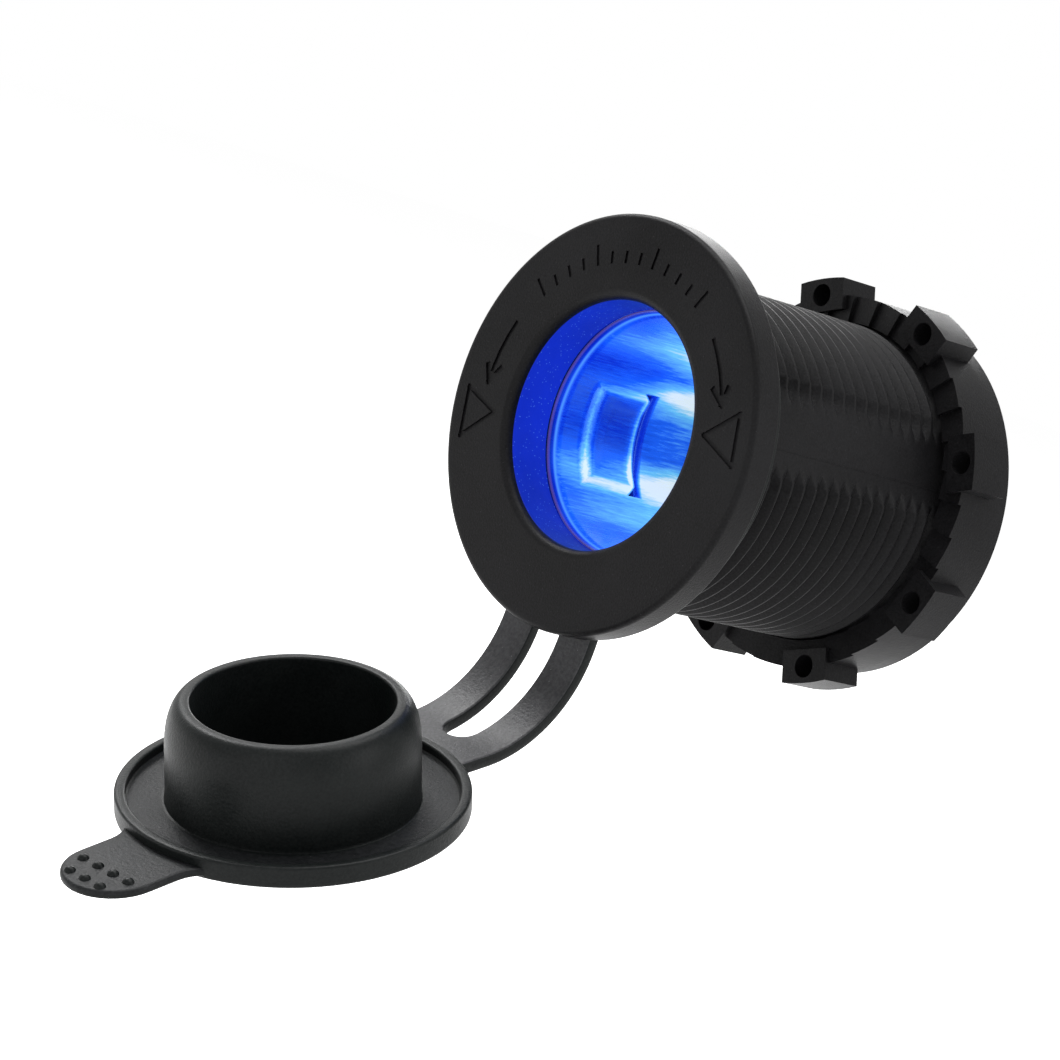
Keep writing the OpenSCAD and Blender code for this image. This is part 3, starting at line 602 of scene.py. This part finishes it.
def flattenThread(piece):
    s = threadSet
    for vert in piece.verts:
        radius = vert.co.xz.length / mm
        for flat in (s["flatTurn"], s["flatTurn"] + 180):
            off = abs(offAngle(vert.co, flat))
            if off > s["flatReach"]:
                continue
            fade = abs(offAngle(vert.co, flat + s["fadeTurn"]))
            filled = min(1.0, max(0.0, (s["shallowFrom"] - fade) / (s["shallowFrom"] - s["fullFrom"])))
            # the groove narrows to a point
            radius = min(s["crest"], radius + (s["crest"] - s["root"]) * filled)
            radius = min(radius, s["flatDepth"] / math.cos(math.radians(off)))
        scaleRadius(vert, radius * mm / vert.co.xz.length)


def addThread(bm):
    s = threadSet
    length, wall = flangeSet["length"], flangeSet["wall"]
    piece = bmesh.new()
    coilThread(piece)
    flattenThread(piece)
    for place, normal in ((0.0, (0, -1, 0)), (length * mm, (0, 1, 0))):
        bmesh.ops.bisect_plane(piece, geom=piece.verts[:] + piece.edges[:] + piece.faces[:], dist=1e-7,
                               plane_co=(0, place, 0), plane_no=normal, clear_outer=True)
    rim = [e for e in piece.edges if e.is_boundary and all(v.co.y > (length - 0.01) * mm for v in e.verts)]
    made = bmesh.ops.extrude_edge_only(piece, edges=rim)
    for vert in (g for g in made["geom"] if isinstance(g, bmesh.types.BMVert)):
        scaleRadius(vert, (wall - 0.01) * mm / vert.co.xz.length)
    bmesh.ops.recalc_face_normals(piece, faces=piece.faces[:])
    side = max(piece.faces, key=lambda f: f.calc_center_median().xz.length)
    if side.normal.dot(side.calc_center_median()) < 0:
        bmesh.ops.reverse_faces(piece, faces=piece.faces[:])
    deep, shorter, wide = s["partingSize"]  # faint parting line of the mould
    line = Matrix.Diagonal((deep * mm, (length - shorter) * mm, wide * mm, 1))
    for flat in (s["flatTurn"], s["flatTurn"] + 180):
        middle = Vector((s["flatDepth"], length / 2, s["partingLine"])) * mm
        place = Matrix.Rotation(math.radians(-flat), 4, "Y") @ Matrix.Translation(middle)
        bmesh.ops.create_cube(piece, size=1, matrix=place @ line)
    joinInto(bm, piece)


def makeSocketBody():
    bm = makeFlange()
    addThread(bm)
    finishPiece("socket_body", bm, [coats["nylon"]], "socket", sharp=32, nodes=("socket_housing",))


makeSocketBody()
print("socket body made")


# light ring
ringSet = {"outer": 12.4, "inner": 11.02, "front": -2.0, "back": 2.3, "ease": 0.12}


def makeLightRing():
    s = ringSet
    bm = bmesh.new()
    points = [(s["inner"] + s["ease"], s["front"]), (s["outer"], s["front"]), (s["outer"], s["back"]),
              (s["inner"] + s["ease"], s["back"]), (s["inner"], s["back"] - s["ease"]),
              (s["inner"], (s["front"] + s["back"]) / 2), (s["inner"], s["front"] + s["ease"])]
    turned(bm, points, 144)
    tidy(bm)
    finishPiece("lit_ring", bm, [coats["litPlastic"]], "socket", nodes=("light_ring",))


makeLightRing()


# metal liner with its two lock tabs
# lip: how far past the flare's radius and behind the rim each point of the rolled edge lies
linerSet = {"radius": 10.5, "sheet": 0.5, "flare": 0.3, "flareEnd": 0.85, "rim": 2.3, "floor": 33.7,
            "floorCorner": 1.2, "floorHole": 3.0, "lip": [(0.18, 0), (0.05, 0.04), (0, 0.16), (0, 0.5)],
            "tabTurn": 12.5, "tabHalf": 26.5, "tabFront": 5.9, "tabRise": 0.9, "tabDish": 0.16,
            "tabEnd": 12.1, "cut": 0.9, "steps": 240, "fineRow": 0.3,
            "rows": [8.2, 9.6, 11.0, 11.6, 14, 18, 22, 26, 30]}


def cutSlits(bm):
    s = linerSet
    cutFaces = []
    for face in bm.faces:
        middle = face.calc_center_median()
        inCut = s["tabEnd"] * mm < middle.y < (s["tabEnd"] + s["cut"]) * mm
        if inCut and any(abs(offAngle(middle, s["tabTurn"] + side)) < s["tabHalf"] for side in (0, 180)):
            cutFaces.append(face)
    bmesh.ops.delete(bm, geom=cutFaces, context="FACES")


def raiseTabs(bm):
    # each tab stands into the bore and is dished a little in its middle
    s = linerSet
    for vert in bm.verts:
        depth = vert.co.y / mm
        if not s["tabFront"] - 0.6 < depth < s["tabEnd"] + 0.01:
            continue
        for side in (0, 180):
            off = abs(offAngle(vert.co, s["tabTurn"] + side))
            if off > s["tabHalf"] + 0.1:
                continue
            past = depth - s["tabFront"]
            raised = smoothStep(0, 2.6, s["tabHalf"] - off) * smoothStep(0, 1.3, past + 0.3)
            dished = s["tabDish"] * smoothStep(3, 12, s["tabHalf"] - off) * smoothStep(1.2, 2.6, past)
            scaleRadius(vert, 1 - (s["tabRise"] * raised - dished) / s["radius"])


def makeLiner():
    s = linerSet
    bm = bmesh.new()
    flare, corner = s["radius"] + s["flare"], s["floorCorner"]
    depths = [first + s["fineRow"] * i for first in (s["rim"] + 1.2, s["tabFront"] - 0.5) for i in range(6)]
    depths += s["rows"] + [s["tabEnd"], s["tabEnd"] + s["cut"]]
    inner = [(flare + out, s["rim"] + back) for out, back in s["lip"]]
    inner += [(s["radius"] + s["flare"] * 0.5, s["rim"] + s["flareEnd"])]
    inner += [(s["radius"], depth) for depth in sorted({round(d, 3) for d in depths})]
    inner += arc((s["radius"] - corner, s["floor"] - corner), corner, 0, 90, 6)
    inner += [(s["floorHole"], s["floor"])]
    turned(bm, inner, s["steps"], closed=False)
    tidy(bm)
    cutSlits(bm)
    raiseTabs(bm)
    bmesh.ops.recalc_face_normals(bm, faces=bm.faces[:])
    wall = max(bm.faces, key=lambda f: f.calc_center_median().y)
    if wall.normal.y > 0:
        bmesh.ops.reverse_faces(bm, faces=bm.faces[:])
    obj = finishPiece("liner_sheet", bm, [coats["linerPaintedLight"]], "socket",
                      nodes=("socket_liner",), weighted=False)
    thick = obj.modifiers.new("sheet", "SOLIDIFY")
    thick.thickness, thick.offset = s["sheet"] * mm, -1


makeLiner()
print("liner made")


# clamp nut
nutSet = {"ease": 0.22}


def makeNut():
    softCopy("ring_nut", [coats["nylon"]], "nut", nutSet["ease"], "clamp_nut")


makeNut()
print("nut made")


# cap moulding: ring, strap, disc, hollow plug and pull tab in one piece
capSet = {"thick": 1.9, "strapThick": 1.2, "ringOut": 17.0, "ringIn": 14.9, "strapWidth": 11.2,
          "strapShift": 0.5, "slotWidth": 3.4, "drop": 18.5, "bend": 11.8, "turn": 66.4, "reach": 16.8,
          "tuck": 0.4, "slice": 0.4, "disc": 15.0, "discEdge": 0.3, "rim": 0.95, "rimDepth": 0.9,
          "rimEdge": 0.25, "rimInner": 0.2, "plugOut": 10.75, "plugIn": 8.6, "plugHeight": 8.0,
          "shoulder": 3.7, "lip": 0.6, "web": 1.9, "pullReach": 23.65, "pullWidth": 8.8, "pullFlare": 2.4,
          "pullRoot": 2.5, "flareRun": 3.6, "pullLow": 0.3, "pullThick": 0.72, "pullEase": 0.5,
          "pullTurn": 5.0, "bump": 0.54, "bumpSink": 0.15, "bumpPitch": 1.92,
          "bumpRows": [(20.15, 4), (22.3, 3)], "ease": 0.22}


def capPlace():
    # from the cap's own frame (rim's top at z 0, plug up, strap towards +y) to the socket's
    s = capSet
    turn = math.radians(s["turn"])
    y = -s["bend"] + s["bend"] * math.cos(turn) - s["reach"] * math.sin(turn)
    z = -s["drop"] - s["bend"] * math.sin(turn) - s["reach"] * math.cos(turn)
    return Matrix.Translation(Vector((0, y, z)) * mm) @ Matrix.Rotation(math.radians(90 - s["turn"]), 4, "X")


def bendPoint(x, height, run):
    # height above the strap's front face, run down from the barrel's axis
    s = capSet
    arcLength = s["bend"] * math.radians(s["turn"])
    if run <= s["drop"]:
        return Vector((x, height, -run))
    past = max(0.0, run - s["drop"] - arcLength)
    angle = min(run - s["drop"], arcLength) / s["bend"]
    y = (s["bend"] + height) * math.cos(angle) - s["bend"] - past * math.sin(angle)
    z = -s["drop"] - (s["bend"] + height) * math.sin(angle) - past * math.cos(angle)
    return Vector((x, y, z))


def addStrap(bm):
    s = capSet
    arcLength = s["bend"] * math.radians(s["turn"])
    half, slot = s["strapWidth"] / 2, s["slotWidth"] / 2
    discLine = s["drop"] + arcLength + s["reach"]
    endRun = discLine - s["disc"]
    slotEnd = endRun - s["web"] - slot
    piece = bmesh.new()
    ringIn, discIn = s["ringOut"] - 0.5, s["disc"] - s["tuck"]
    ringSide, ringSlot = math.sqrt(ringIn ** 2 - half ** 2), math.sqrt(ringIn ** 2 - slot ** 2)
    discSide = discLine - math.sqrt(discIn ** 2 - half ** 2)
    outline = [(-half, ringSide), (-half, discSide), (0, discLine - discIn), (half, discSide),
               (half, ringSide), (slot, ringSlot)]
    outline += [(x, slotEnd + run) for x, run in (polar(slot, a) for a in range(0, 181, 15))]
    outline += [(-slot, ringSlot)]
    face = piece.faces.new([piece.verts.new((x * mm, 0.02 * mm, run * mm)) for x, run in outline])
    made = bmesh.ops.extrude_face_region(piece, geom=[face])
    bmesh.ops.translate(piece, verts=[g for g in made["geom"] if isinstance(g, bmesh.types.BMVert)],
                        vec=(0, (s["strapThick"] - 0.04) * mm, 0))
    bmesh.ops.recalc_face_normals(piece, faces=piece.faces[:])
    edges = [e for e in piece.edges if e.calc_face_angle(0) > math.radians(60)
             and abs(e.verts[0].co.y - e.verts[1].co.y) < 0.1 * mm]
    bmesh.ops.bevel(piece, geom=edges, offset=s["ease"] * mm, offset_type="OFFSET", segments=3, profile=0.5,
                    affect="EDGES", clamp_overlap=True, material=-1)
    run = s["drop"] - 1
    while run < endRun + 0.5:  # sliced, so that it can bend
        bmesh.ops.bisect_plane(piece, geom=piece.verts[:] + piece.edges[:] + piece.faces[:], dist=1e-7,
                               plane_co=(0, 0, run * mm), plane_no=(0, 0, 1))
        run += s["slice"]
    piece.normal_update()
    # the strap's front faces take the lighter coat, painted light on the side turned to the lamps
    for face in piece.faces:
        face.material_index = 2 if face.normal.y < -0.5 else 0
    for vert in piece.verts:
        vert.co = bendPoint(vert.co.x / mm - s["strapShift"], vert.co.y / mm, vert.co.z / mm) * mm
    bmesh.ops.recalc_face_normals(piece, faces=piece.faces[:])
    joinInto(bm, piece)


def addDisc(bm):
    s = capSet
    piece = bmesh.new()
    inner = s["disc"] - s["rim"]
    shoulderFoot = s["plugHeight"] - s["shoulder"]
    points = [(0, -s["thick"])]
    points += arc((s["disc"] - s["discEdge"], -s["thick"] + s["discEdge"]), s["discEdge"], -90, 0, 4)
    points += arc((s["disc"] - s["rimEdge"], -s["rimEdge"]), s["rimEdge"], 0, 90, 4)
    points += arc((inner + s["rimInner"], -s["rimInner"]), s["rimInner"], 90, 180, 3)
    points += [(inner, -s["rimDepth"] + 0.15), (inner - 0.15, -s["rimDepth"])]
    points += [(s["plugOut"] + 0.3, -s["rimDepth"]), (s["plugOut"] + 0.08, -s["rimDepth"] + 0.08),
               (s["plugOut"], -s["rimDepth"] + 0.3), (s["plugOut"], 1.0), (s["plugOut"], shoulderFoot * 0.7)]
    lipOut = s["plugIn"] + s["lip"]
    for a in range(0, 91, 6):  # rounded shoulder of the plug
        across, up = polar(1, a)
        points.append((lipOut + (s["plugOut"] - lipOut) * across, shoulderFoot + s["shoulder"] * up))
    points += arc((s["plugIn"] + s["rimInner"], s["plugHeight"] - s["rimInner"]), s["rimInner"], 90, 180, 3)
    points += [(s["plugIn"], s["plugHeight"] * 0.5), (s["plugIn"], -s["rimDepth"] + 0.4),
               (s["plugIn"] - 0.4, -s["rimDepth"]), (4.0, -s["rimDepth"]), (0, -s["rimDepth"])]
    verts = [piece.verts.new((r * mm, 0, z * mm)) for r, z in points]
    edges = [piece.edges.new(pair) for pair in zip(verts, verts[1:])]
    bmesh.ops.spin(piece, geom=verts + edges, cent=(0, 0, 0), axis=(0, 0, 1), angle=2 * math.pi, steps=160,
                   use_merge=True)
    tidy(piece)
    # the recess floor takes the lighter coat, painted light on the up-facing floor
    for face in piece.faces:
        middle = face.calc_center_median() / mm
        if abs(middle.z + s["rimDepth"]) < 0.02 and middle.xy.length > s["plugOut"]:
            face.material_index = 1
    joinInto(bm, piece, capPlace())


def addPull(bm):
    s = capSet
    piece = bmesh.new()
    half, tip = s["pullWidth"] / 2, s["pullReach"]
    root = s["disc"] - s["pullRoot"]
    shares = [i / 6 for i in range(7)]  # the root flares into the disc
    flare = [(half + s["pullFlare"] * (1 - u) ** 2, -(root + s["flareRun"] * u)) for u in shares]
    tipArc = [polar(half, a) for a in range(0, 181, 9)]
    outline = [(-x, y) for x, y in flare] + [(-x, -(tip - half) - y) for x, y in tipArc] + flare[::-1]
    low = s["pullLow"] - s["thick"]
    top = low + s["pullThick"]
    face = piece.faces.new([piece.verts.new((x * mm, y * mm, low * mm)) for x, y in outline])
    made = bmesh.ops.extrude_face_region(piece, geom=[face])
    bmesh.ops.translate(piece, verts=[g for g in made["geom"] if isinstance(g, bmesh.types.BMVert)],
                        vec=(0, 0, s["pullThick"] * mm))
    bmesh.ops.recalc_face_normals(piece, faces=piece.faces[:])
    under = s["pullThick"] - s["pullEase"] - 0.04
    for level, ease in ((top, s["pullEase"]), (low, under)):  # a full, soft upper edge
        edges = [e for e in piece.edges if e.calc_face_angle(0) > math.radians(60)
                 and all(abs(v.co.z / mm - level) < 0.001 for v in e.verts)]
        bmesh.ops.bevel(piece, geom=edges, offset=ease * mm, offset_type="OFFSET", segments=4, profile=0.5,
                        affect="EDGES", clamp_overlap=True, material=-1)
    piece.normal_update()
    # the pull's upper faces take the lighter coat, painted light on faces turned up
    for face in piece.faces:
        face.material_index = 1 if face.normal.z > 0.1 else 0
    for reach, count in s["bumpRows"]:
        for i in range(count):
            x = (i - (count - 1) / 2) * s["bumpPitch"]
            middle = Matrix.Translation(Vector((x, -reach, top - s["bumpSink"])) * mm)
            bmesh.ops.create_uvsphere(piece, u_segments=20, v_segments=12, radius=s["bump"] * mm,
                                      matrix=middle)
    joinInto(bm, piece, capPlace() @ Matrix.Rotation(math.radians(s["pullTurn"]), 4, "Z"))


def makeCapMoulding():
    s = capSet
    bm = bmesh.new()
    ease = s["ease"]
    points = []
    for radius, depth, turn in ((s["ringIn"] + ease, ease, 180), (s["ringOut"] - ease, ease, 270),
                                (s["ringOut"] - ease, s["thick"] - ease, 0),
                                (s["ringIn"] + ease, s["thick"] - ease, 90)):
        points += arc((radius, depth), ease, turn, turn + 90, 3)
    turned(bm, points, 144)
    tidy(bm)
    addStrap(bm)
    addDisc(bm)
    addPull(bm)
    obj = finishPiece("cap_moulding", bm, [coats["capRubber"], coats["pullAndRecessPaintedLight"], coats["strapFrontPaintedLight"]],
                      nodes=("cap_strap_ring", "cap_strap", "cap"))
    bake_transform(obj)


makeCapMoulding()
print("cap moulding made")


# rear end, contact and lamp parts: the CAD shapes with eased edges
# node, coat, slot, body and width of the eased edges, 0 for none
softParts = [
    ("contact_cup", "fibre", "fibre", "socket", 0.15),
    ("centre_contact", "turnedBrass", "brass", "contact", 0.15),
    ("contact_spring", "springSteel", "spring_steel", "socket", 0),
    ("contact_stud", "turnedBrass", "brass", "socket", 0.12),
    ("rear_seal", "sealRubber", "seal_rubber", "socket", 0.08),
    ("rear_cover", "nylon", "nylon", "socket", 0.2),
    ("negative_terminal", "tinnedBrass", "tinned_brass", "socket", 0.1),
    ("negative_rivet", "springSteel", "spring_steel", "socket", 0.1),
    ("positive_terminal", "tinnedBrass", "tinned_brass", "socket", 0.1),
    ("lock_washer", "springSteel", "spring_steel", "socket", 0.06),
    ("stud_nut", "turnedBrass", "brass", "socket", 0.15),
    ("led_board", "boardMask", "board", "socket", 0),
    ("led_left", "litPlastic", "led", "socket", 0),
    ("led_right", "litPlastic", "led", "socket", 0),
    ("led_resistor", "resistorBody", "resistor", "socket", 0),
    ("led_lead_positive", "redSleeve", "lead_red", "socket", 0),
    ("led_lead_negative", "blackSleeve", "lead_black", "socket", 0)]


def makeSpring(node, mat, body):
    bm = bmesh.new()
    bm.from_mesh(frame["nodes"][node].data)
    tidy(bm, 0.001)
    spring = finishPiece("contact_spring_finish", bm, [mat], body, nodes=(node,))
    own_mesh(spring)


for node, coat, slotName, body, width in softParts:
    if node == "contact_spring":
        makeSpring(node, coats[coat], body)
    elif width:
        softCopy(node, [coats[coat]], body, width)
    else:
        held = frame["nodes"][node]
        held.data.materials.clear()
        held.data.materials.append(coats[coat])
print("rear and inner parts made")


# floor, lamps and world
stageSet = {"floor": -80.0, "floorSize": 3.0, "floorColour": (0.82, 0.82, 0.82, 1), "floorRough": 0.9,
            "floorGlow": 0.72, "worldFill": 0.32}
lamps = [
    {"name": "topSoft", "place": (0.02, -0.02, 0.58), "size": (0.4, 0.4), "watts": 3.6},
    {"name": "backSheen", "place": (-0.44, 0.50, 0.26), "size": (0.3, 0.2), "watts": 1.6},
    {"name": "leftSoft", "place": (-0.44, -0.04, 0.42), "size": (0.25, 0.25), "watts": 2.9},
    {"name": "rightSoft", "place": (0.55, 0.22, 0.22), "size": (0.25, 0.4), "watts": 1.3},
    {"name": "frontFill", "place": (0.25, -0.60, 0.12), "size": (0.5, 0.4), "watts": 0.8}]


def seenFactor(tree):
    # 1 for camera, glossy and transmission rays
    path = tree.nodes.new("ShaderNodeLightPath")
    seen = maths(tree, "MAXIMUM", path.outputs["Is Camera Ray"], path.outputs["Is Glossy Ray"])
    return maths(tree, "MAXIMUM", seen, path.outputs["Is Transmission Ray"])


def makeWorld():
    world = bpy.data.worlds.new("studio")
    world.use_nodes = True
    bpy.context.scene.world = world
    tree = world.node_tree
    backdrop = tree.nodes["Background"]
    backdrop.inputs["Color"].default_value = (1, 1, 1, 1)
    strength = maths(tree, "MULTIPLY_ADD", seenFactor(tree), 1 - stageSet["worldFill"], stageSet["worldFill"])
    tree.links.new(strength, backdrop.inputs["Strength"])


def makeFloor():
    bm = bmesh.new()
    bmesh.ops.create_grid(bm, x_segments=1, y_segments=1, size=stageSet["floorSize"] / 2,
                          matrix=Matrix.Translation((0, 0, stageSet["floor"] * mm)))
    data = bpy.data.meshes.new("floor")
    bm.to_mesh(data)
    bm.free()
    floor = bpy.data.objects.new("floor", data)
    bpy.context.scene.collection.objects.link(floor)
    mat = bpy.data.materials.new("paleFloor")
    mat.use_nodes = True
    tree = mat.node_tree
    shader = tree.nodes["Principled BSDF"]
    shader.inputs["Base Color"].default_value = stageSet["floorColour"]
    shader.inputs["Roughness"].default_value = stageSet["floorRough"]
    shader.inputs["Specular IOR Level"].default_value = 0.0
    shader.inputs["Emission Color"].default_value = (1, 1, 1, 1)
    glowing = maths(tree, "MULTIPLY", seenFactor(tree), stageSet["floorGlow"])
    tree.links.new(glowing, shader.inputs["Emission Strength"])
    data.materials.append(mat)


def makeLamps():
    for lamp in lamps:
        light = bpy.data.lights.new(lamp["name"], "AREA")
        light.shape = "RECTANGLE"
        light.size, light.size_y = lamp["size"]
        light.energy = lamp["watts"]
        obj = bpy.data.objects.new(lamp["name"], light)
        place = Vector(lamp["place"])  # metres, aimed at the origin
        obj.matrix_world = Matrix.Translation(place) @ place.to_track_quat("Z", "Y").to_matrix().to_4x4()
        bpy.context.scene.collection.objects.link(obj)


bpy.context.scene.view_settings.view_transform = "Standard"
makeWorld()
makeFloor()
makeLamps()
print("stage made")
